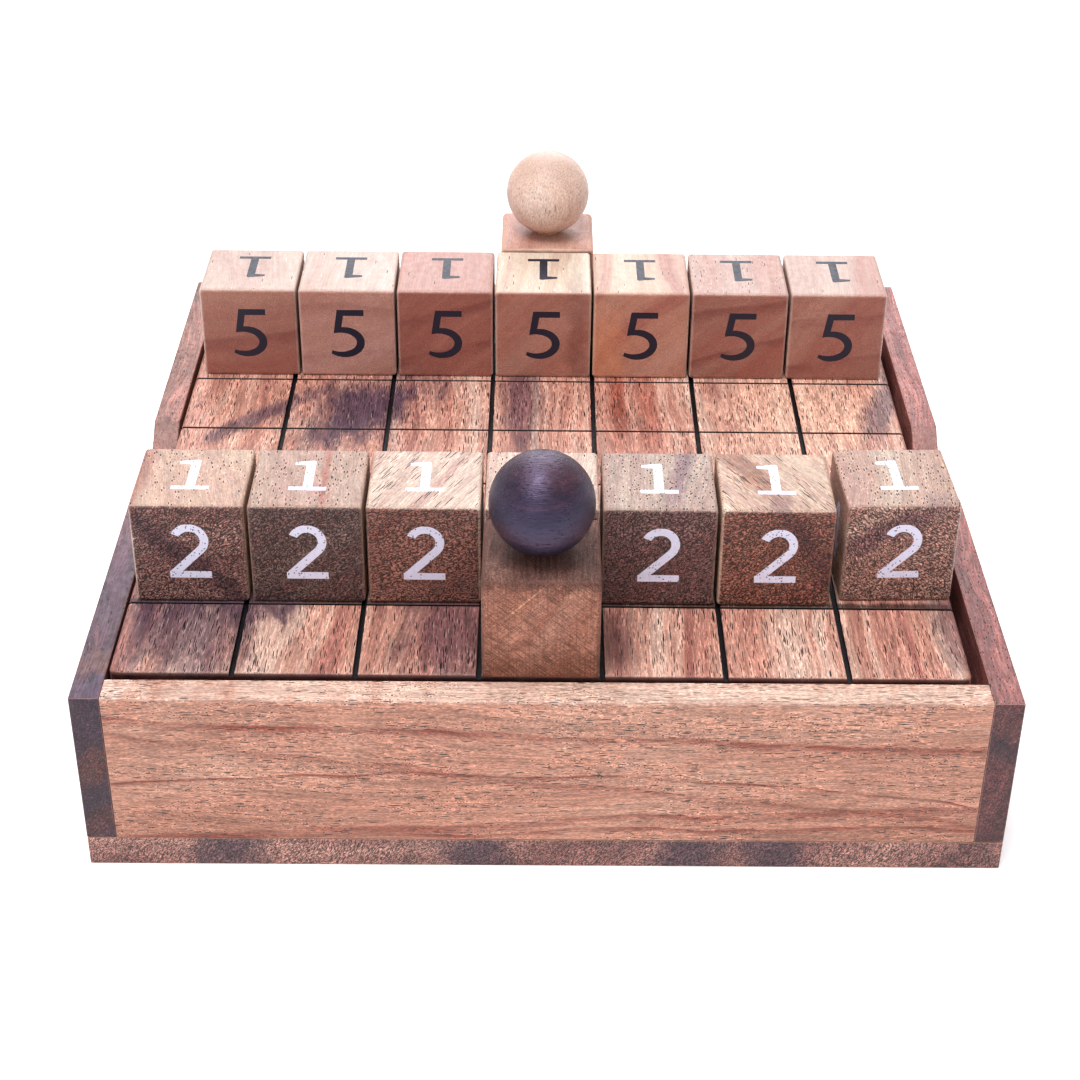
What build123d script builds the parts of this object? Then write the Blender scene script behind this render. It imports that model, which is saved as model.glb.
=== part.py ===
from build123d import *
import os
from math import sqrt

# Wooden box-board for a two-player game with number cubes, in millimetres.
# The origin is the centre of the base's underside and +Z is up. The dark player
# sits at -Y, so -Y is the front and +X is that player's right.

# Playing cubes, and the squares that they stand on
CUBE = 25.0               # side of every number cube and king block
PITCH = 26.3              # from one groove of the board to the next
SQUARES = 7               # squares along each side of the board
CUBE_EASE = 0.9           # radius sanded on a number cube's edges
BLOCK_EASE = 1.3          # the king blocks are sanded rounder
CLEARANCE = 0.02          # gap left under every loose piece

# Kings: a ball held over a block by a hidden dowel
BALL_DIAMETER = 22.4
BALL_GAP = 0.2            # glue gap between the ball and the top of its block
DOWEL_DIAMETER = 6.0
DOWEL_IN_BLOCK = 8.0
DOWEL_IN_BALL = 8.0
DOWEL_SLACK = 0.1         # added to the depth of both dowel holes

# Printed numbers, filled into shallow pockets of the same depth
INK_DEPTH = 0.2
NUMBER_HEIGHT = 13.9
NUMBER_WIDTH = 9.2
STROKE = 1.75             # thickness of the flat strokes
HEAVY_STROKE = 2.1        # thickness of the upright strokes
DARK_ONE_RAISED = 1.5     # how far a number is printed above the middle of its face
LIGHT_ONE_RAISED = -0.9
TWO_RAISED = 0.8

# Lid: the playing board, lying loose on two ledges
LID_SIDE = SQUARES * PITCH
LID_THICKNESS = 6.0
LID_CORNER = 2.5          # radius of its four corners seen from above
LID_EDGE = 1.0            # radius of its top edges
LID_PROUD = 0.7           # height of its top over the walls
GROOVE_ALONG_Y = 1.1      # width of the grooves that run from front to back
GROOVE_ALONG_X = 0.6      # width of the grooves that run from left to right
GROOVE_LIP = 0.15         # bevel on both sides of a groove
GROOVE_DEPTH = 1.0

# Box
BOX_WIDTH = 201.0         # along X
BOX_DEPTH = 200.0         # along Y
BASE_THICKNESS = 7.5
WALL_HEIGHT = 38.0
SIDE_WALL = 6.5
END_WALL = 7.0
BOARD_EASE = 0.35         # radius sanded on every edge of the box
SCOOP_CHORD = 36.0        # length of the finger scoops at the top of the side walls
SCOOP_RADIUS = 26.5
LEDGE_DEPTH = 6.0
LEDGE_HEIGHT = 9.0

BOX_HEIGHT = BASE_THICKNESS + WALL_HEIGHT
LID_TOP = BOX_HEIGHT + LID_PROUD
LID_UNDERSIDE = LID_TOP - LID_THICKNESS
INNER_WIDTH = BOX_WIDTH - 2 * SIDE_WALL

# The lid lies a little askew in the wider opening of the box
LID_SHIFT = -1.0          # along X
LID_TURN = -0.25          # degrees
LID_PLACE = Location((LID_SHIFT, 0, 0), (0, 0, LID_TURN))

# The cubes of a row are pushed a little closer together than their squares
DARK_ROW = 2
DARK_SPACING = 25.85
LIGHT_ROW = 6
LIGHT_SPACING = 25.7
LIGHT_SET_BACK = 1.5      # the light pieces stand behind the middles of their squares
LAST_SET_BACK = 2.5       # the last dark cube stands out of line
LAST_TURN = 2.0           # degrees

KING_COLUMN = 4
DARK_KING_FORWARD = 2.0   # the dark king stands in front of the middle of its square
LIGHT_KING_SHIFT = 1.0    # the light king stands to the right of it


# ---- box ----

def board(width, depth, height):
    """A sawn board standing on Z = 0, with its edges sanded."""
    blank = Box(width, depth, height, align=(Align.CENTER, Align.CENTER, Align.MIN))
    return fillet(blank.edges(), BOARD_EASE)


def base_board():
    return board(BOX_WIDTH, BOX_DEPTH, BASE_THICKNESS)


def end_wall(side):
    """Front (-1) or back (+1) wall, which stands between the side walls."""
    middle = side * (BOX_DEPTH - END_WALL) / 2
    return Pos(0, middle, BASE_THICKNESS) * board(INNER_WIDTH, END_WALL, WALL_HEIGHT)


def side_wall(side):
    """Left (-1) or right (+1) wall, with the round scoop that bares the lid's edge."""
    middle = side * (BOX_WIDTH - SIDE_WALL) / 2
    blank = Box(SIDE_WALL, BOX_DEPTH, WALL_HEIGHT, align=(Align.CENTER, Align.CENTER, Align.MIN))
    over_the_wall = sqrt(SCOOP_RADIUS ** 2 - (SCOOP_CHORD / 2) ** 2)
    cutter = Cylinder(SCOOP_RADIUS, 2 * SIDE_WALL, rotation=(0, 90, 0))
    scooped = blank - Pos(0, 0, WALL_HEIGHT + over_the_wall) * cutter
    return Pos(middle, 0, BASE_THICKNESS) * fillet(scooped.edges(), BOARD_EASE)


def ledge(side):
    """Strip glued inside the front (-1) or back (+1) wall, on which the lid lies."""
    middle = side * (BOX_DEPTH / 2 - END_WALL - LEDGE_DEPTH / 2)
    bottom = LID_UNDERSIDE - CLEARANCE - LEDGE_HEIGHT
    return Pos(0, middle, bottom) * board(INNER_WIDTH, LEDGE_DEPTH, LEDGE_HEIGHT)


# ---- lid ----

def groove(position, width):
    """Cutter for one groove along Y at X = position, down from the lid's top."""
    half = width / 2
    section = Polygon(
        (-half - GROOVE_LIP, 0),
        (-half, -GROOVE_LIP),
        (-half, -GROOVE_DEPTH),
        (half, -GROOVE_DEPTH),
        (half, -GROOVE_LIP),
        (half + GROOVE_LIP, 0),
        align=None,
    )
    return Pos(position, 0, LID_TOP) * extrude(Plane.XZ * section, LID_SIDE, both=True)


def board_lid():
    square = RectangleRounded(LID_SIDE, LID_SIDE, LID_CORNER)
    slab = Pos(0, 0, LID_UNDERSIDE) * extrude(square, LID_THICKNESS)
    slab = fillet(slab.edges().group_by(Axis.Z)[-1], LID_EDGE)
    for line in range(1, SQUARES):
        position = (line - SQUARES / 2) * PITCH
        slab -= groove(position, GROOVE_ALONG_Y)
        slab -= Rot(0, 0, 90) * groove(position, GROOVE_ALONG_X)
    return LID_PLACE * slab


# ---- numbers, drawn from their lower left corner ----

def oval(x, y, half_width, half_height):
    return Pos(x, y) * Ellipse(half_width, half_height)


def outline(*points):
    """Straight-sided face; its points run counterclockwise, so that it faces up."""
    return Polygon(*points, align=None)


def bar(x, y, width, height):
    return Pos(x, y) * Rectangle(width, height, align=(Align.MIN, Align.MIN))


def one():
    height = 12.8
    stem_left = (NUMBER_WIDTH - HEAVY_STROKE) / 2
    stem_right = stem_left + HEAVY_STROKE
    flag = outline(
        (stem_left - 2.6, height - 1.8),
        (stem_left, height - 2.1),
        (stem_right, height - 2.2),
        (stem_right, height - 0.4),
        (stem_right - 0.5, height),
        (stem_left - 2.6, height - 0.7),
    )
    foot_width = 8.4
    foot = bar((NUMBER_WIDTH - foot_width) / 2, 0, foot_width, 1.5)
    return bar(stem_left, 0, HEAVY_STROKE, height - 0.4) + flag + foot


def two():
    bend = 3.3
    centre = (4.85, NUMBER_HEIGHT - bend - STROKE / 2)
    half = 0.95
    hook = Circle(bend + half) - Circle(bend - half)
    hook -= outline((0, 0), (-9, 4.2), (-9, -9), (9, -9))
    slope = Rot(0, 0, 45) * bar(-10, -bend - half, 10, 2 * half)
    sheet = bar(0, 0, NUMBER_WIDTH, NUMBER_HEIGHT)
    return (Pos(*centre) * (hook + slope) & sheet) + bar(0, 0, NUMBER_WIDTH, STROKE)


def bowl(x, y, half_width, half_height):
    """The right-hand round of a three or a five: heavy at the right, light above and below."""
    hollow_width = (half_width + x - HEAVY_STROKE + 1.5) / 2
    hollow_x = x + half_width - HEAVY_STROKE - hollow_width
    hollow = oval(hollow_x, y, hollow_width, half_height - STROKE + 0.1)
    return oval(x, y, half_width, half_height) - hollow


def three():
    lower = bowl(3.7, 4.2, 5.2, 4.2)
    upper = bowl(3.9, 10.35, 4.6, 3.55)
    below = outline((-3, -1), (0, 0.6), (0.5, 2.4), (2.7, 5), (2.7, 8), (-3, 8))
    above = outline((-3, 7), (2.7, 7), (2.7, 9.6), (0.9, 11.6), (0.5, 13.2), (-3, 15))
    return lower + upper - below - above


def four():
    stem_left = 5.8
    stem_right = stem_left + HEAVY_STROKE
    bar_bottom = 3.2
    bar_top = bar_bottom + STROKE
    slant = outline(
        (0, bar_bottom),
        (stem_right, bar_bottom),
        (stem_right, NUMBER_HEIGHT),
        (5.4, NUMBER_HEIGHT),
        (0, bar_top),
    )
    window = outline((2.1, bar_top), (stem_left, bar_top), (stem_left, 11.6))
    stem = bar(stem_left, 0, HEAVY_STROKE, NUMBER_HEIGHT)
    crossbar = bar(0, bar_bottom, NUMBER_WIDTH, STROKE)
    return slant - window + stem + crossbar


def five():
    heel = 0.97
    gap = outline((-3, -1), (-0.1, 0.6), (0.55, 2.4), (heel, 7), (2, NUMBER_HEIGHT), (-3, NUMBER_HEIGHT))
    top = bar(2, NUMBER_HEIGHT - STROKE, 7, STROKE)
    stem = outline((heel, 7.3), (3.05, 7.3), (3.05, 8.8), (3.9, NUMBER_HEIGHT), (2, NUMBER_HEIGHT))
    return bowl(3.7, 4.45, 5.35, 4.45) - gap + top + stem


def six():
    ring = oval(4.6, 4.35, 4.6, 4.35) - oval(4.6, 4.35, 4.6 - HEAVY_STROKE, 4.35 - STROKE)
    tail = oval(8.2, 4.9, 8.2, 9) - oval(8.6, 4.9, 8.6 - HEAVY_STROKE, 9 - STROKE)
    return ring + (tail & bar(0, 4.4, 7.9, NUMBER_HEIGHT))


def face_plane(outward, across):
    return Plane(origin=Vector(outward) * (CUBE / 2), x_dir=across, z_dir=outward)


def number_inlays(one_raised):
    """The six numbers of one cube, each a thin filling flush with its face.

    Opposite faces add up to seven, as on any die, and the owner of a cube has the one
    on top and the two in front. The one and the two are printed a little off centre.
    """
    numbers = [
        (one(), one_raised, face_plane((0, 0, 1), (1, 0, 0))),
        (two(), TWO_RAISED, face_plane((0, -1, 0), (1, 0, 0))),
        (three(), 0, face_plane((1, 0, 0), (0, 1, 0))),
        (four(), 0, face_plane((-1, 0, 0), (0, -1, 0))),
        (five(), 0, face_plane((0, 1, 0), (-1, 0, 0))),
        (six(), 0, face_plane((0, 0, -1), (1, 0, 0))),
    ]
    inlays = []
    for number, raised, plane in numbers:
        placed = Pos(-NUMBER_WIDTH / 2, raised - NUMBER_HEIGHT / 2) * number
        inlays += extrude(plane * placed, -INK_DEPTH).solids()
    return inlays


# ---- playing pieces, each about its own centre ----

def block(ease):
    blank = Box(CUBE, CUBE, CUBE)
    return fillet(blank.edges(), ease)


def number_cube(inlays):
    return block(CUBE_EASE) - inlays


def king_block():
    hole_depth = DOWEL_IN_BLOCK + DOWEL_SLACK
    hole = Cylinder(DOWEL_DIAMETER / 2, hole_depth, align=(Align.CENTER, Align.CENTER, Align.MAX))
    return block(BLOCK_EASE) - Pos(0, 0, CUBE / 2) * hole


def king_ball():
    """Ball about its own centre, drilled upwards from below."""
    radius = BALL_DIAMETER / 2
    hole_depth = BALL_GAP + DOWEL_IN_BALL + DOWEL_SLACK
    hole = Cylinder(DOWEL_DIAMETER / 2, hole_depth, align=(Align.CENTER, Align.CENTER, Align.MIN))
    return Sphere(radius) - Pos(0, 0, -radius - BALL_GAP) * hole


def king_dowel():
    length = DOWEL_IN_BLOCK + BALL_GAP + DOWEL_IN_BALL
    return Cylinder(DOWEL_DIAMETER / 2, length, align=(Align.CENTER, Align.CENTER, Align.MIN))


def square(number):
    """Distance from the lid's middle to the middle of a column or row, counted from 1."""
    return (number - (SQUARES + 1) / 2) * PITCH


def on_lid(x, y, turn=0):
    """Place of the centre of a cube or block that stands at x, y from the lid's middle."""
    return LID_PLACE * Location((x, y, LID_TOP + CLEARANCE + CUBE / 2), (0, 0, turn))


def row_places(spacing, y, turn):
    """Places of the cubes of one evenly spaced row, from the left."""
    first = -spacing * (SQUARES - 1) / 2
    return [on_lid(first + number * spacing, y, turn) for number in range(SQUARES)]


def dark_places():
    y = square(DARK_ROW)
    last = on_lid(square(SQUARES), y + LAST_SET_BACK, LAST_TURN)
    return row_places(DARK_SPACING, y, 0)[:-1] + [last]


def light_places():
    return row_places(LIGHT_SPACING, square(LIGHT_ROW) + LIGHT_SET_BACK, 180)


# ---- writing the pieces ----

def write(name, shape):
    export_step(shape, f"parts/{name}.step")


def write_box():
    write("base_board", base_board())
    write("front_wall", end_wall(-1))
    write("back_wall", end_wall(1))
    write("left_wall", side_wall(-1))
    write("right_wall", side_wall(1))
    write("front_ledge", ledge(-1))
    write("back_ledge", ledge(1))
    write("board_lid", board_lid())


def write_cubes(colour, places, one_raised):
    inlays = number_inlays(one_raised)
    cube = number_cube(inlays)
    for number, place in enumerate(places, start=1):
        name = f"{colour}_cube_{number}"
        write(name, place * cube)
        write(f"{name}_numbers", Compound([place * inlay for inlay in inlays]))


def write_king(colour, place):
    block_top = place * Pos(0, 0, CUBE / 2)
    write(f"{colour}_king_block", place * king_block())
    write(f"{colour}_king_ball", block_top * Pos(0, 0, BALL_GAP + BALL_DIAMETER / 2) * king_ball())
    write(f"{colour}_king_dowel", block_top * Pos(0, 0, -DOWEL_IN_BLOCK) * king_dowel())


os.makedirs("parts", exist_ok=True)
write_box()
write_cubes("dark", dark_places(), DARK_ONE_RAISED)
write_cubes("light", light_places(), LIGHT_ONE_RAISED)
write_king("dark", on_lid(square(KING_COLUMN), square(1) - DARK_KING_FORWARD))
write_king("light", on_lid(square(KING_COLUMN) + LIGHT_KING_SHIFT, square(SQUARES) + LIGHT_SET_BACK))
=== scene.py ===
import math
import bpy
from mathutils import Euler, Matrix, Vector


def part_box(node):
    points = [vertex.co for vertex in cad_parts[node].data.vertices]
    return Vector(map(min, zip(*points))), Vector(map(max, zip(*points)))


# Looks for the boxed number-cube game. Blender works in metres; the wood patterns below
# are laid out in millimetres, in the same frame as the CAD parts.

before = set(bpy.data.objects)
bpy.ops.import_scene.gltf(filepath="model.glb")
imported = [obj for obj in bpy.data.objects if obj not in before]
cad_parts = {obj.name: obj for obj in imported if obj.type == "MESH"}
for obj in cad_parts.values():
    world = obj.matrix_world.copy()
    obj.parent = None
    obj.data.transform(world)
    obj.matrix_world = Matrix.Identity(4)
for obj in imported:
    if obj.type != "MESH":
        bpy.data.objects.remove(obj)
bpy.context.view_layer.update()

MM = 0.001
PITCH = 26.3              # one square of the board and one groove
SQUARES = 7
HALF_CUBE = 12.5          # half the side of a number cube or a king block
LID_TURN = -0.25          # degrees, as the lid lies in its box
LID_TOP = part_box("board_lid")[1][2] / MM
BOX_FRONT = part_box("base_board")[0][1] / MM
GROOVES = ((0, 0.6), (1, 0.36))   # axis that the grooves lie across, and half their width
GROOVE_DEPTH = 1.05       # paint reaches this far down
GROOVE_PAINT = "08080E"

# Turns, in degrees, that bring a piece's grain onto the Z axis of its wood pattern
ALONG_X = (0, -90, 0)
ALONG_Y = (90, 0, 0)
ALONG_Z = (0, 0, 0)


def colour(code):
    """Linear colour with alpha from an sRGB hex code."""
    shares = [int(code[i:i + 2], 16) / 255 for i in (0, 2, 4)]
    linear = [s / 12.92 if s <= 0.04045 else ((s + 0.055) / 1.055) ** 2.4 for s in shares]
    return (*linear, 1.0)


def middle_of(node):
    """Centre of a node at rest, in millimetres."""
    low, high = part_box(node)
    return [(a + b) / 2 / MM for a, b in zip(low, high)]


LID_MIDDLE = middle_of("board_lid")[:2]


class Nodes:
    """One material's node tree. Each method adds a node and returns its output."""

    def __init__(self, name):
        self.material = bpy.data.materials.new(name)
        self.material.use_nodes = True
        self.tree = self.material.node_tree
        self.surface = self.tree.nodes["Principled BSDF"]

    def feed(self, socket, value):
        if isinstance(value, bpy.types.NodeSocket):
            self.tree.links.new(value, socket)
        elif socket.type == "VECTOR":
            socket.default_value = value[:3]
        else:
            socket.default_value = value

    def add(self, kind, inputs, output=0, **settings):
        node = self.tree.nodes.new(kind)
        for key, value in settings.items():
            setattr(node, key, value)
        for key, value in inputs.items():
            self.feed(node.inputs[key], value)
        return node.outputs[output]

    def number(self, operation, a, b=0.0):
        return self.add("ShaderNodeMath", {0: a, 1: b}, operation=operation)

    def vector(self, operation, a, b=(0, 0, 0), output=0):
        return self.add("ShaderNodeVectorMath", {0: a, 1: b}, output, operation=operation)

    def scaled(self, a, factor):
        return self.add("ShaderNodeVectorMath", {0: a, "Scale": factor}, operation="SCALE")

    def part(self, vector, axis):
        return self.add("ShaderNodeSeparateXYZ", {0: vector}, axis)

    def joined(self, x, y, z):
        return self.add("ShaderNodeCombineXYZ", {0: x, 1: y, 2: z})

    def turned(self, vector, degrees, shift=(0, 0, 0)):
        rotation = [math.radians(d) for d in degrees]
        return self.add("ShaderNodeMapping", {0: vector, "Rotation": rotation, "Location": shift})

    def noise(self, where, detail=2.0, roughness=0.5, output="Fac"):
        inputs = {"Vector": where, "Scale": 1.0, "Detail": detail, "Roughness": roughness}
        return self.add("ShaderNodeTexNoise", inputs, output)

    def wander(self, where, size, reach):
        """A place shifted by up to about reach, changing over distances of size."""
        push = self.noise(self.scaled(where, 1 / size), 2, output="Color")
        return self.vector("ADD", where, self.scaled(self.vector("SUBTRACT", push, (0.5, 0.5, 0.5)), reach))

    def cells(self, where):
        """Distance to the nearest of many scattered points, and that point's own chance."""
        node = self.tree.nodes.new("ShaderNodeTexVoronoi")
        node.inputs["Scale"].default_value = 1.0
        self.feed(node.inputs["Vector"], where)
        return node.outputs["Distance"], self.add("ShaderNodeSeparateColor", {0: node.outputs["Color"]})

    def fade(self, value, low, high, start=0.0, end=1.0):
        """Smooth step from start to end as value goes from low to high."""
        inputs = {"Value": value, "From Min": low, "From Max": high, "To Min": start, "To Max": end}
        return self.add("ShaderNodeMapRange", inputs, interpolation_type="SMOOTHSTEP")

    def mix(self, amount, a, b, how="MIX"):
        return self.add("ShaderNodeMixRGB", {"Fac": amount, 1: a, 2: b}, blend_type=how)

    def ramp(self, value, *stops):
        node = self.tree.nodes.new("ShaderNodeValToRGB")
        self.feed(node.inputs[0], value)
        elements = node.color_ramp.elements
        while len(elements) < len(stops):
            elements.new(1.0)
        for element, (position, shade) in zip(elements, stops):
            element.position = position
            element.color = shade
        return node.outputs[0]

    def bump(self, height, depth_mm):
        return self.add("ShaderNodeBump", {"Height": height, "Distance": depth_mm * MM})


# ---- wood ----

# Marks are short dashes along the grain, scattered one to a cell at most
PORES = {
    "shade": "140E10",
    "amount": 1.0,
    "cell": 0.42,             # spacing across the grain
    "length": 5.5,            # spacing along the grain
    "width": 0.3,             # half the size of a mark, as a share of the spacing
    "share": 0.8,             # share of the cells that holds a mark
    "crowd": 0.3,             # share left where the marks are thinnest
    "rim": 0.8,               # strength of the pale line around a mark
    "seed": 0.0,
}
FLECKS = {**PORES, "shade": "F6DACA", "amount": 0.45, "length": 9, "width": 0.22, "rim": 0.0, "seed": 7.3}
RIM_LIGHT = 1.6           # how much paler the line around a mark is than the wood
PAINTED_GLINT_LIGHT = 2.2         # how much lighter a painted highlight is than the pebble under it

WOOD = {
    "grain": ALONG_Y,
    "swing": 0,               # degrees that the grain is turned about the vertical
    "seed": (0, 0, 0),
    "pale": "E8B48E",         # three tones of the growth rings
    "mid": "C88A62",
    "deep": "9A5C40",
    "heart": (60, 90),        # centre of the rings in the pattern's X and Y
    "ring": 7.0,              # usual width of a ring
    "warp": 20.0,             # how far the rings wander
    "streak": 0.2,            # contrast of the fine streaks
    "grit": 0.22,             # contrast of the finest specks
    "stain": "4A2E36",        # darker heartwood patches
    "stain_size": 34,
    "stain_level": 0.62,      # lower means more of them
    "stain_amount": 0.6,
    "about": (0, 0, 0),       # point from which blots and bands are measured
    "blots": [],
    "bands": [],
    "marks": [PORES],
    "end_tint": "A89898",     # end grain is this much darker
    "pebble": 0.0,            # strength of the leathery end grain
    "pebble_size": (0.85, 0.5),
    "pebble_turn": 30,
    "gleam": 0.0,             # strength of the painted highlights on the pebbles
    "hatch": 0.0,             # strength of the sanding scratches
    "wear": "E9BFA0",         # colour of rubbed edges
    "wear_amount": 0.4,
    "rough": 0.5,
    "end_rough": 0.5,
    "relief": 0.06,
    "gloss": 0.5,
    "gloss_tint": (1, 1, 1, 1),
    "paint": None,            # function that paints over the wood
}


def blot_mask(n, place, middle, half_size, amount, turn=(0, 0, 0), rag=(0.2, 0.07, 0.2)):
    """A patch around a point of the piece, with a ragged rim."""
    local = n.turned(n.vector("SUBTRACT", place, middle), turn)
    reach = n.vector("LENGTH", n.vector("DIVIDE", local, half_size), output="Value")
    wild = n.noise(n.vector("MULTIPLY", place, rag), 6, 0.72)
    ragged = n.number("ADD", reach, n.number("MULTIPLY", n.number("SUBTRACT", wild, 0.5), 2.6))
    return n.number("MULTIPLY", n.fade(ragged, 0.35, 1.35, 1, 0), amount)


def band_mask(n, place, level, slope, bend, width, amount):
    """A growth line across the piece, crisp on its upper side and fading downwards."""
    x, z = n.part(place, 0), n.part(place, 2)
    curve = n.number("ADD", n.number("MULTIPLY", x, slope), level)
    curve = n.number("ADD", curve, n.number("MULTIPLY", n.number("MULTIPLY", x, x), bend))
    height = n.number("SUBTRACT", z, curve)
    above = n.fade(height, 0, width * 0.3, 1, 0)
    below = n.fade(height, -width, 0, 0, 1)
    faint = n.fade(n.noise(n.vector("MULTIPLY", place, (0.06, 0.02, 0.3)), 3), 0.35, 0.6, 0.35, 1)
    return n.number("MULTIPLY", n.number("MULTIPLY", n.number("MULTIPLY", above, below), faint), amount)


def mark_masks(n, where, mark):
    """Masks of the marks and of their rims."""
    cell, width = mark["cell"], mark["width"]
    units = n.vector("DIVIDE", where, (cell, cell, mark["length"]))
    units = n.vector("ADD", units, (mark["seed"],) * 3)
    reach, chance = n.cells(units)
    crowd = n.noise(n.vector("MULTIPLY", where, (0.16, 0.16, 0.04)), 1)
    limit = n.number("MULTIPLY", n.fade(crowd, 0.32, 0.68, mark["crowd"], 1.4), mark["share"])
    kept = n.number("LESS_THAN", chance, limit)
    body = n.number("MULTIPLY", n.fade(reach, width * 0.6, width, 1, 0), kept)
    rim = n.number("MULTIPLY", n.fade(reach, width * 1.1, width * 1.6, 1, 0), kept)
    return n.number("MULTIPLY", body, mark["amount"]), n.number("MULTIPLY", rim, mark["rim"])


def in_row_frame(n):
    """A point's place in the row frame, in millimetres, and its normal."""
    coordinates = n.tree.nodes.new("ShaderNodeTexCoord")
    return n.scaled(coordinates.outputs["Object"], 1 / MM), coordinates.outputs["Normal"]


def grained(n, look):
    """A point's place in the row frame, its place in the wood's axes, and both normals."""
    place, normal = in_row_frame(n)
    swing = (0, 0, look["swing"])
    where = n.turned(n.turned(place, swing), look["grain"], look["seed"])
    return place, where, normal, n.turned(n.turned(normal, swing), look["grain"])


def ring_colour(n, where, look):
    """Growth rings: irregular bands around the heart, drawn out along the grain."""
    slow = n.vector("MULTIPLY", where, (0.022, 0.022, 0.012))
    push = n.vector("SUBTRACT", n.noise(slow, 2, output="Color"), (0.5, 0.5, 0.5))
    bent = n.vector("ADD", where, n.vector("MULTIPLY", push, (look["warp"], look["warp"], 0)))
    flat = n.vector("MULTIPLY", n.vector("ADD", bent, (*look["heart"], 0)), (1, 1, 0))
    radius = n.vector("LENGTH", flat, output="Value")
    along = n.number("MULTIPLY", n.part(where, 2), 0.004)
    tone = n.noise(n.joined(n.number("DIVIDE", radius, look["ring"]), along, 0.0), 5, 0.65)
    stops = [(0.33, look["deep"]), (0.50, look["mid"]), (0.64, look["pale"])]
    return n.ramp(tone, *[(position, colour(code)) for position, code in stops]), bent


def figured(n, place, bent, shade, look):
    """Colour of the wood before its pores: stains, blots and bands, then streaks and specks."""
    size = look["stain_size"]
    patch = n.noise(n.vector("DIVIDE", bent, (size, size, size * 2.6)), 6, 0.65)
    level = look["stain_level"]
    stained = n.number("MULTIPLY", n.fade(patch, level - 0.08, level + 0.1), look["stain_amount"])
    shade = n.mix(stained, shade, colour(look["stain"]))

    local = n.vector("SUBTRACT", place, look["about"])
    for code, *blot in look["blots"]:
        shade = n.mix(blot_mask(n, local, *blot), shade, colour(code))
    uneven = n.wander(local, 30, 5)
    for code, *band in look["bands"]:
        shade = n.mix(band_mask(n, uneven, *band), shade, colour(code))

    for squeeze, contrast in (
        ((0.5, 0.5, 0.016), look["streak"] * 0.7),
        ((2.2, 2.2, 0.09), look["streak"] * 1.3),
        ((4.0, 4.0, 1.1), look["grit"]),
    ):
        streak = n.noise(n.vector("MULTIPLY", bent, squeeze), 3, 0.6)
        shade = n.scaled(shade, n.fade(streak, 0.32, 0.68, 1 - contrast, 1 + contrast))
    return shade


def pebbles(n, where, look):
    """Short raised squiggles between dark lines, as oiled end grain shows, and painted highlights on them.
    """
    flat = n.wander(n.vector("MULTIPLY", where, (1, 1, 0)), 14, 6)
    rows = n.vector("DIVIDE", n.turned(flat, (0, 0, look["pebble_turn"])), (*look["pebble_size"], 1))
    ripple = n.number("ABSOLUTE", n.number("SUBTRACT", n.noise(rows, 1, 0.5), 0.5))
    lift = n.fade(ripple, 0.015, 0.12)
    # painted highlight: light spots on the raised pebbles, where a lamp would glint on them
    gleam = n.number("MULTIPLY", n.fade(n.noise(n.scaled(rows, 1.5), 1), 0.53, 0.66), lift)
    return lift, gleam


def scratches(n, place):
    """Sanding scratches: one close set downwards to the right, and two fainter sets across it."""
    total = 0.0
    for turn, squeeze, strength in (
        (50, (5.0, 5.0, 0.2), 1.0),
        (-50, (4.0, 4.0, 0.2), 0.6),
        (0, (3.0, 3.0, 0.08), 0.6),
    ):
        line = n.noise(n.vector("MULTIPLY", n.turned(place, (0, turn, 0)), squeeze), 1)
        total = n.number("MAXIMUM", total, n.number("MULTIPLY", n.fade(line, 0.5, 0.6), strength))
    return total


def edge_mask(n, place, normal):
    """The rounded edges, where the normal leaves all three axes."""
    steep = n.vector("ABSOLUTE", normal)
    flattest = n.number("MAXIMUM", n.part(steep, 1), n.part(steep, 2))
    flattest = n.number("MAXIMUM", n.part(steep, 0), flattest)
    chips = n.fade(n.noise(n.scaled(place, 0.8), 3, 0.6), 0.3, 0.6, 0.4, 1)
    return n.number("MULTIPLY", n.fade(flattest, 0.8, 0.985, 1, 0), chips)


def pebbled(n, where, end, shade, height, look):
    """End grain with its pebbles: light and dark, raised, and with painted highlights."""
    lift, gleam = pebbles(n, where, look)
    light = n.fade(lift, 0, 1, 1 - look["pebble"], 1 + look["pebble"] * 0.8)
    shade = n.mix(end, shade, n.scaled(shade, light))
    # painted highlight: the glint spots are lightened in the colour itself
    gleam = n.number("MULTIPLY", n.number("MULTIPLY", gleam, end), look["gleam"])
    shade = n.mix(gleam, shade, n.scaled(shade, PAINTED_GLINT_LIGHT))
    raised = n.number("MULTIPLY", n.number("MULTIPLY", lift, end), 1.2)
    return shade, n.number("ADD", height, raised)


def hatched(n, place, shade, height, look):
    """Wood with its sanding scratches, darker and sunk."""
    scratch = scratches(n, place)
    shade = n.scaled(shade, n.fade(scratch, 0, 1, 1.06, 1 - look["hatch"]))
    return shade, n.number("SUBTRACT", height, n.number("MULTIPLY", scratch, 0.5))


def pored(n, where, end, shade, height, look):
    """Long grain with its marks, each a small pit with a paler rim."""
    side = n.number("SUBTRACT", 1.0, end)
    flow = n.wander(n.wander(where, 40, 1.6), 2.5, 0.16)
    for mark in look["marks"]:
        body, rim = mark_masks(n, flow, mark)
        shade = n.mix(n.number("MULTIPLY", rim, side), shade, n.scaled(shade, RIM_LIGHT))
        pit = n.number("MULTIPLY", body, side)
        shade = n.mix(pit, shade, colour(mark["shade"]))
        height = n.number("SUBTRACT", height, pit)
    return shade, height


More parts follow.
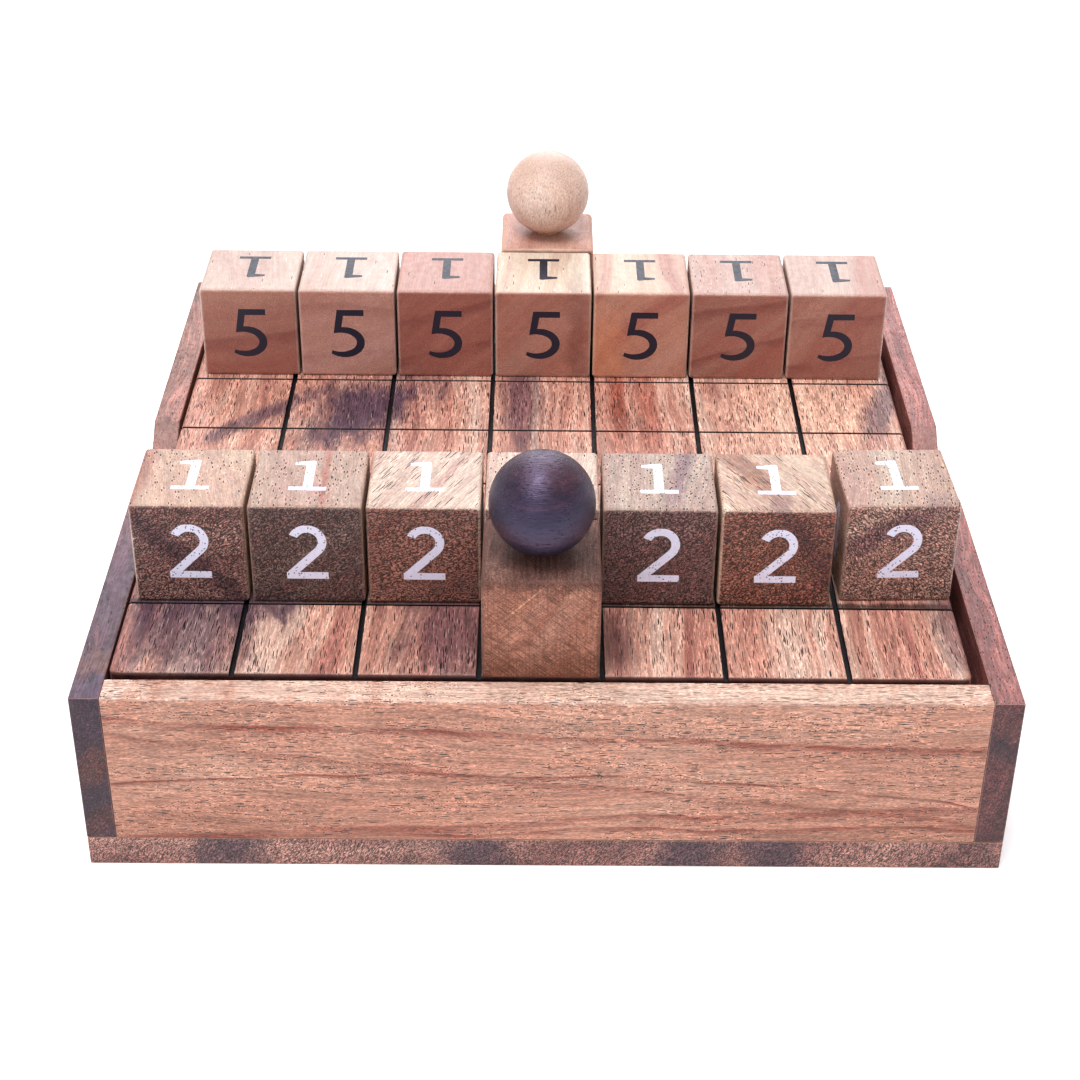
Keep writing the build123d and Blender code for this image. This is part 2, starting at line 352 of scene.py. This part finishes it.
def oiled(n, where, end, shade, height, look):
    """Feeds the surface: its colour, its uneven oil and its relief."""
    dull = n.fade(n.noise(n.scaled(where, 0.5), 3), 0.3, 0.7, -0.06, 0.08)
    rough = n.fade(end, 0, 1, look["rough"], look["end_rough"])
    n.feed(n.surface.inputs["Base Color"], shade)
    n.feed(n.surface.inputs["Roughness"], n.number("ADD", rough, dull))
    n.feed(n.surface.inputs["Normal"], n.bump(height, look["relief"]))
    n.feed(n.surface.inputs["Specular IOR Level"], look["gloss"])
    n.feed(n.surface.inputs["Specular Tint"], look["gloss_tint"])


def wood(name, **changes):
    """The material of one piece: the usual wood with what the piece changes."""
    look = {**WOOD, **changes}
    n = Nodes(name)
    place, where, normal, grain_normal = grained(n, look)
    end = n.fade(n.number("ABSOLUTE", n.part(grain_normal, 2)), 0.5, 0.8)
    shade, bent = ring_colour(n, where, look)
    shade = figured(n, place, bent, shade, look)
    shade = n.mix(end, shade, colour(look["end_tint"]), "MULTIPLY")
    fibres = n.noise(n.vector("MULTIPLY", where, (3.0, 3.0, 0.12)), 3, 0.6)
    height = n.number("MULTIPLY", fibres, 0.3)
    if look["pebble"]:
        shade, height = pebbled(n, where, end, shade, height, look)
    if look["hatch"]:
        shade, height = hatched(n, place, shade, height, look)
    worn = n.number("MULTIPLY", edge_mask(n, place, normal), look["wear_amount"])
    shade = n.mix(worn, shade, colour(look["wear"]))
    shade, height = pored(n, where, end, shade, height, look)
    if look["paint"]:
        shade = look["paint"](n, place, shade)
    oiled(n, where, end, shade, height, look)
    return n.material


def groove_paint(n, place, shade):
    """Black paint in the grooves of the lid: everything near a groove line and below the top."""
    local = n.turned(n.vector("SUBTRACT", place, (*LID_MIDDLE, 0)), (0, 0, -LID_TURN))
    near = []
    for axis, half_width in GROOVES:
        squares = n.number("ADD", n.number("DIVIDE", n.part(local, axis), PITCH), SQUARES / 2)
        from_line = n.number("MULTIPLY", n.number("PINGPONG", squares, 0.5), PITCH)
        reach = PITCH * (SQUARES / 2 - 0.5)
        inside = n.number("LESS_THAN", n.number("ABSOLUTE", n.part(local, axis)), reach)
        near.append(n.number("MULTIPLY", n.number("LESS_THAN", from_line, half_width), inside))
    depth = n.number("SUBTRACT", LID_TOP, n.part(place, 2))
    sunk = n.number("GREATER_THAN", depth, 0.1)
    sunk = n.number("MULTIPLY", sunk, n.number("LESS_THAN", depth, GROOVE_DEPTH))
    painted = n.number("MULTIPLY", n.number("MAXIMUM", *near), sunk)
    return n.mix(painted, shade, colour(GROOVE_PAINT))


def ink(name, code, rough, holes):
    """Printed number. The wood's pores break through it as small dots."""
    n = Nodes(name)
    place, _ = in_row_frame(n)
    pits = []
    for pattern in (place, n.wander(place, 3, 1)):
        body, _ = mark_masks(n, pattern, {**PORES, "cell": 0.7, "length": 0.7, "width": 0.26})
        pits.append(body)
    pit = n.number("MULTIPLY", n.number("MAXIMUM", *pits), holes)
    mottle = n.noise(n.scaled(place, 1.2), 3, 0.6)
    shade = n.scaled(colour(code), n.fade(mottle, 0.3, 0.7, 0.95, 1.04))
    shade = n.mix(pit, shade, colour("3A2A2C"))
    n.feed(n.surface.inputs["Base Color"], shade)
    n.feed(n.surface.inputs["Roughness"], n.fade(mottle, 0.3, 0.7, rough - 0.05, rough + 0.08))
    n.feed(n.surface.inputs["Normal"], n.bump(n.number("MULTIPLY", pit, -1.0), 0.05))
    return n.material


# ---- the pieces' looks ----

def paint_node(node, material):
    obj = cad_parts[node]
    obj.data.materials.clear()
    obj.data.materials.append(material)


def paint_wood(node, **look):
    paint_node(node, wood(f"{node}_wood", **look))


WALL_PORES = {
    **PORES, "shade": "1C1E20", "cell": 0.44, "length": 4.4, "width": 0.32, "share": 0.9, "crowd": 0.2,
    "rim": 0.5,
}
SPOTS = {**WALL_PORES, "cell": 0.5, "length": 1.1, "share": 0.5, "crowd": 0.0, "rim": 0.9, "seed": 5.7}
WALL = {
    "grain": ALONG_X, "pale": "B88C78", "mid": "AC7864", "deep": "986450", "heart": (40, 20), "ring": 9,
    "warp": 14, "streak": 0.2, "grit": 0.34, "stain_level": 0.9, "marks": [WALL_PORES, SPOTS],
    "wear": "D8B0A0", "end_tint": "A08880",
}
RED_LINE = "7C3626"


def front_wall():
    lines = [
        (RED_LINE, 36.4, -0.033, 0, 2.2, 1.0),
        (RED_LINE, 26.0, -0.02, -0.0007, 1.0, 1.0),
        (RED_LINE, 24.0, -0.12, 0, 3.0, 0.5),
        (RED_LINE, 12.6, 0.05, 0, 3.0, 0.8),
        (RED_LINE, 9.8, 0.02, 0, 1.5, 0.9),
    ]
    # painted sheen: the wall's top face made paler, standing in for the lamps' sheen on it
    painted_top_sheen = ("E8CCBC", (0, -96.5, 46.2), (140, 8, 1.6), 0.5)
    paint_wood("front_wall", seed=(3, 1, 0), bands=lines, blots=[painted_top_sheen], **WALL)


def side_walls():
    shared = {
        "ring": 6, "streak": 0.3, "pebble": 0.6, "pebble_size": (1.0, 0.4), "pebble_turn": 55,
        "gleam": 0.5, "end_tint": "A494A0",
    }
    front = [
        ("45304C", (-97, -98, 40), (18, 9, 60), 0.85),
        ("804C40", (-97, BOX_FRONT, 27), (8, 9, 4), 0.85, (0, 40, 0)),
        ("804C40", (-97, BOX_FRONT, 12), (8, 9, 3), 0.7, (0, 40, 0)),
        ("46324A", (-97, -50, 46), (18, 50, 9), 0.75),
    ]
    dark_band = [("3E2C40", (97, BOX_FRONT, 34), (7, 9, 3), 0.65, (0, -35, 0))]
    paint_wood(
        "left_wall", seed=(12, 70, 9), pale="B07468", mid="8C5C50", deep="684038", stain="44303A",
        stain_level=0.6, blots=front, wear="B89088",
        marks=[{**PORES, "length": 2.4, "share": 0.6, "rim": 0.4}], **shared,
    )
    paint_wood(
        "right_wall", seed=(50, 22, 80), pale="A0645C", mid="88504C", deep="683C38", stain_level=0.66,
        wear="C8A098", marks=[{**PORES, "cell": 0.5, "length": 2.2, "share": 0.9}], blots=dark_band,
        **shared,
    )


def base():
    dark = "403044"
    patches = [(dark, (x, BOX_FRONT, 4), (8, 60, 9), 0.8, (0, 35, 0)) for x in (-70, -15, 32, 50)]
    paint_wood(
        "base_board", seed=(0, 44, 5), pale="AC8880", mid="946C68", deep="745050", ring=12,
        stain="5A4444", stain_size=26, stain_level=0.6, blots=patches, pebble=0.75, pebble_turn=50,
        pebble_size=(1.0, 0.4), gleam=0.5, end_tint="E4D4CC",
    )


def lid():
    purple, rust, umber = "4C3644", "8A4030", "5E3C40"
    level = LID_TOP
    blots = [
        ("E2B49E", (66, 26, level), (26, 34, 8), 0.6),
        # painted shadow: a near-black strip on the lid along the dark cubes' feet, in place of the shade
        # under their fronts
        ("1E1214", (0, -64.8, level), (400, 1.3, 8), 0.85, (0, 0, -LID_TURN)),
        (purple, (-78, -74, level), (17, 24, 8), 0.8),
        (purple, (-80, -64, level), (20, 9, 8), 0.8),
        (purple, (-62, -65, level), (9, 8, 8), 0.8),
        (umber, (-20, -74, level), (14, 24, 8), 0.9),
        (umber, (15, -79, level), (4, 14, 8), 0.6),
        (umber, (91, -72, level), (6, 18, 8), 0.7),
        (purple, (-71, 22, level), (22, 3.6, 8), 0.8, (0, 0, -45)),
        (purple, (-47, 22, level), (27, 13, 8), 0.97, (0, 0, -58)),
        (purple, (-6, 26, level), (6, 30, 8), 0.65),
        (rust, (19, 26, level), (2.4, 30, 8), 0.75),
        (rust, (26, 24, level), (2.8, 24, 8), 0.5),
        (purple, (87, 24, level), (4.5, 22, 8), 0.75, (0, 0, 14)),
    ]
    paint_wood(
        "board_lid", pale="CCA898", mid="B48070", deep="905850", heart=(70, 30), ring=6, streak=0.22,
        stain="5A3C44", stain_size=40, stain_level=0.66, blots=blots, paint=groove_paint,
        # end grain partly real and partly painted shade: the lid's front face is darkened as the shade of
        # the narrow gap before the front wall
        end_tint="5E4648", wear="7A4C42", wear_amount=0.25, gloss=0.3,
        marks=[
            {**PORES, "cell": 0.46, "length": 7, "share": 1.0, "crowd": 0.5},
            {**PORES, "cell": 0.42, "length": 9, "share": 0.8, "crowd": 0.4, "seed": 3.1},
            {**FLECKS, "width": 0.18},
        ],
    )


DARK = {
    "deep": "A0746A", "ring": 6, "streak": 0.15, "pebble": 0.75, "pebble_size": (0.8, 0.55), "gleam": 0.9,
    "wear": "D8B8A8", "wear_amount": 0.22, "end_rough": 0.34, "relief": 0.12, "stain_level": 0.9,
}
LIGHT = {
    "deep": "B08074", "ring": 9, "streak": 0.07, "grit": 0.1, "pebble": 0.07, "pebble_size": (0.4, 0.4),
    "wear": "E4C4B8", "marks": [{**PORES, "share": 0.05}], "stain_level": 0.9,
}

# Woods that the cubes are cut from
TAN = {"pale": "C0A894", "mid": "B49480"}
TAUPE = {"pale": "B09888", "mid": "A48474"}
CREAM = {"pale": "C8B0A0", "mid": "BCA090"}
UMBER = {"pale": "A89484", "mid": "987C70"}
ROSE = {"pale": "C0A89C", "mid": "B4948A", "end_tint": "E8BCB0"}
BLUSH = {"pale": "CCB8B0", "mid": "C0A89C", "end_tint": "F8CCC4"}
BRICK = {"pale": "BC9488", "mid": "B0847A", "end_tint": "E8BCB0"}
MAPLE = {"pale": "DCD0C0", "mid": "D0B8A4", "end_tint": "D49C94"}
HONEY = {"pale": "D0BCAC", "mid": "C8AC98", "end_tint": "F8CCC4"}
DUSK, ASH, RUST, MIST = "A08890", "887C84", "A47C78", "D8C8CC"   # tints of the dark cubes' end grain


def dots(share, length=2.4, cell=0.62):
    """Short marks, as the pores of a cube look on its top."""
    return [{**PORES, "cell": cell, "length": length, "share": share}]


def dark_cube_looks():
    """What sets each dark cube apart, from the left."""
    shadow = "7C5C5C"
    top, front = HALF_CUBE, -HALF_CUBE
    return [
        {**TAN, "end_tint": DUSK, "swing": -12, "pebble_turn": 35, "marks": dots(0.5), "blots": [
            (shadow, (-2, front, 0), (22, 9, 3.2), 0.9, (0, -42, 0)),
            ("8C5448", (-12, 0, top), (3, 20, 4), 0.7)]},
        {**TAUPE, "end_tint": ASH, "marks": dots(0.8), "blots": [
            ("98503F", (3.5, 0, top), (1.0, 20, 4), 0.85)]},
        {**CREAM, "end_tint": RUST, "swing": 28, "pebble_turn": 10, "gleam": 0.4,
            "marks": dots(0.9, 10, 0.5)},
        {**CREAM, "end_tint": DUSK, "marks": dots(0.6)},
        {**UMBER, "end_tint": DUSK, "marks": dots(2.6, 1.6, 0.75), "blots": [
            ("6C4A54", (5, 2, top), (2.5, 16, 4), 0.75, (0, 0, 10))]},
        {**TAN, "end_tint": RUST, "swing": -28, "marks": dots(0.9, 9, 0.5), "blots": [
            ("885640", (-5, 3, top), (4, 22, 4), 0.85, (0, 0, -28)),
            (shadow, (7, front, 3), (16, 9, 3.5), 0.85, (0, -55, 0))]},
        {**TAUPE, "end_tint": MIST, "marks": dots(1.6), "pebble_turn": -35, "blots": [
            (shadow, (-3, front, 6), (16, 9, 3), 0.9, (0, 28, 0))]},
    ]


def light_cube_looks():
    """What sets each light cube apart, from the left."""
    band = "84504C"
    front = -HALF_CUBE
    return [
        {**ROSE, "bands": [(band, -2, 0.12, 0.004, 5, 0.6)]},
        {**BLUSH, "bands": [(band, 8, 0, -0.01, 4, 0.3), (band, -6, 0.1, 0, 3, 0.25)]},
        {**BRICK, "bands": [(band, 6, 0.3, 0, 4, 0.6), (band, -5, 0.25, 0, 4, 0.6)]},
        {**MAPLE, "blots": [(band, (9, front, 0), (3, 30, 20), 0.4)]},
        {**HONEY, "blots": [("E8B888", (-12, front, -6), (9, 30, 14), 0.5)]},
        {**ROSE, "marks": dots(0.4, 5, 0.4), "bands": [
            (band, 8, 0.2, 0, 4, 0.6), (band, -4, 0.3, 0, 3, 0.7)]},
        {**ROSE, "bands": [(band, 5, 0.12, 0, 4, 0.5), (band, -7, 0.15, 0, 3, 0.6)]},
    ]


def cubes(kind, shared, looks, code, rough, holes):
    """One row's cubes and their numbers; no two cubes are cut from the same place in the wood."""
    for column, own in enumerate(looks, start=1):
        node = f"{kind}_cube_{column}"
        seed = (column * 37, column * 53, column * 11)
        paint_wood(node, **{**shared, "about": middle_of(node), "seed": seed, **own})
        paint_node(f"{node}_numbers", ink(f"{node}_ink", code, rough, holes))


def kings():
    paint_wood(
        "dark_king_block", seed=(5, 5, 5), pale="B48878", mid="A87868", deep="9C6C5C", hatch=0.5,
        rough=0.68, gloss=0.15, marks=[], wear="6A4A44", end_tint="FFF0E8",
        about=middle_of("dark_king_block"),
        blots=[
            ("5A3E3A", (0, 0, HALF_CUBE), (30, 30, 3), 0.8),
            # darker towards the bottom of the front face
            ("6A4232", (0, -HALF_CUBE, -HALF_CUBE), (30, 8, 9), 0.6),
            ("D8A888", (-3, -HALF_CUBE, 7.6), (0.2, 3, 5), 0.8, (0, -45, 0)),
        ],
    )
    paint_wood(
        "light_king_block", seed=(15, 5, 5), pale="C49C88", mid="BC8C7C", deep="B07C6C", streak=0.05,
        marks=[], stain_level=0.9,
    )
    paint_wood(
        "dark_king_ball", grain=ALONG_X, seed=(9, 3, 5), pale="382430", mid="201828", deep="120E1A",
        end_tint="F0F0F0", rough=0.33, end_rough=0.33, relief=0.5, streak=0.3, wear_amount=0,
        stain="4E2A2A", stain_level=0.56, gloss=0.75, gloss_tint=(0.68, 0.6, 1.0, 1),
        marks=[{**PORES, "shade": "08060A", "cell": 0.5, "length": 2.4, "share": 0.7, "rim": 0.3}],
    )
    paint_wood(
        "light_king_ball", grain=ALONG_Z, seed=(4, 30, 5), pale="E4CCC0", mid="DCBCAC", deep="C8A494",
        end_tint="F0F0F0", wear_amount=0, streak=0.05, stain_level=0.9,
        marks=[{**PORES, "shade": "B08A74", "cell": 0.4, "share": 0.6, "rim": 0.0}],
    )


def hidden_wood():
    """Strips under the lid, the back wall and the dowels inside the kings."""
    paint_wood("back_wall", **{**WALL, "seed": (31, 17, 40), "stain_level": 0.7})
    paint_wood("front_ledge", grain=ALONG_X, seed=(8, 8, 8))
    paint_wood("back_ledge", grain=ALONG_X, seed=(21, 5, 66))
    paint_wood("dark_king_dowel", grain=ALONG_Z)
    paint_wood("light_king_dowel", grain=ALONG_Z, seed=(3, 3, 3))


# ---- studio, in metres ----

FLOOR_SIZE = 12
FLOOR_GLOW = 0.25         # keeps the floor white where the lights fade
CAMERA_PLACE = (-0.00367, -0.45028, 0.31058)
CAMERA_DOWN = 32.70       # degrees below level
CAMERA_TURN = 0.30        # degrees to the right
CAMERA_ROLL = 0.54        # degrees
LENS = 69.69              # focal length in mm
SENSOR = 36               # width of the film in mm


def floor():
    """A plain white floor with a soft contact shadow."""
    bpy.ops.mesh.primitive_plane_add(size=FLOOR_SIZE)
    obj = bpy.context.object
    obj.name = "studio_floor"
    n = Nodes("studio_floor")
    n.feed(n.surface.inputs["Base Color"], (0.96, 0.96, 0.97, 1))
    n.feed(n.surface.inputs["Roughness"], 0.9)
    n.feed(n.surface.inputs["Emission Color"], (1, 1, 1, 1))
    n.feed(n.surface.inputs["Emission Strength"], FLOOR_GLOW)
    obj.data.materials.append(n.material)


def sky(strength):
    """An even white surround."""
    world = bpy.data.worlds.new("studio")
    bpy.context.scene.world = world
    world.use_nodes = True
    background = world.node_tree.nodes["Background"]
    background.inputs[0].default_value = (1.0, 1.0, 1.0, 1)
    background.inputs[1].default_value = strength


def softbox(name, location, size, power, shade=(1, 1, 1), target=(0, 0, 0.03)):
    """A square lamp that faces the middle of the board."""
    light = bpy.data.lights.new(name, "AREA")
    light.shape = "SQUARE"
    light.size = size
    light.energy = power
    light.color = shade
    obj = bpy.data.objects.new(name, light)
    bpy.context.collection.objects.link(obj)
    obj.location = location
    obj.rotation_euler = (Vector(target) - Vector(location)).to_track_quat("-Z", "Y").to_euler()


def camera():
    """Seen from the dark player's side, a little above."""
    down, turn, roll = [math.radians(angle) for angle in (CAMERA_DOWN, CAMERA_TURN, CAMERA_ROLL)]
    data = bpy.data.cameras.new("camera")
    data.sensor_width = SENSOR
    data.lens = LENS
    obj = bpy.data.objects.new("camera", data)
    bpy.context.collection.objects.link(obj)
    aimed = Euler((math.pi / 2 - down, 0, -turn)).to_matrix() @ Matrix.Rotation(roll, 3, "Z")
    obj.matrix_world = Matrix.Translation(CAMERA_PLACE) @ aimed.to_4x4()
    bpy.context.scene.camera = obj


front_wall()
side_walls()
base()
lid()
cubes("dark", DARK, dark_cube_looks(), "E0DEF4", 0.5, 0.9)
cubes("light", LIGHT, light_cube_looks(), "12142A", 0.5, 0.0)
kings()
hidden_wood()
floor()
sky(0.55)
softbox("overhead", (-0.2, -0.25, 1.3), 0.6, 14)
softbox("back_sheen", (0, 1.5, 1.05), 1.2, 20, shade=(0.93, 0.95, 1.0))
softbox("front_fill", (-0.3, -1.2, 0.8), 0.9, 3)
camera()
bpy.context.scene.view_settings.view_transform = "Standard"
